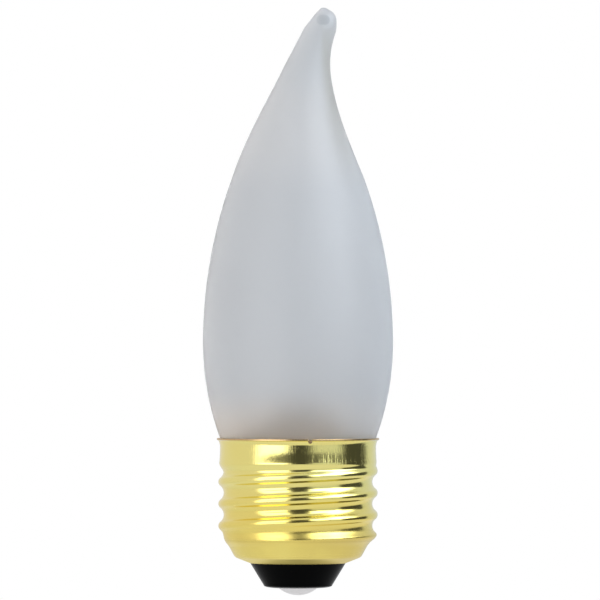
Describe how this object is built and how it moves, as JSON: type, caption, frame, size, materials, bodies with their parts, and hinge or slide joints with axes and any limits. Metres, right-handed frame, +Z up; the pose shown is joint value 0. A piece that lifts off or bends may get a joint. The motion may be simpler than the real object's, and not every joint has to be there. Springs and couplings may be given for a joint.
{
  "type": "flame-tip candle bulb",
  "caption": "Frosted bent-tip candle bulb with a rolled medium screw cap, black insulator and soldered centre contact.",
  "frame": {"origin": "lowest point of the centre contact, on the axis of the screw cap", "axes": "+Z up the axis from the cap to the tip of the glass, +X the way the bent tip leans"},
  "size_m": [0.0314, 0.0314, 0.0969],
  "materials": {
    "frosted_glass": "satin frosted, opaque to the eye",
    "brass_shell": "polished, faintly streaked",
    "black_glass": "glossy black vitrified glass",
    "contact_brass": "plain",
    "solder": "satin tin solder",
    "cement": "matt baked cement",
    "lead_wire": "nickel-plated wire"
  },
  "bodies": {
    "root": {"glass_bulb": "frosted_glass", "screw_shell": "brass_shell", "insulator": "black_glass", "centre_contact": "contact_brass", "contact_solder": "solder", "basing_cement": "cement", "centre_lead": "lead_wire", "side_lead": "lead_wire", "rim_joint": "solder"}
  },
  "joints": []
}
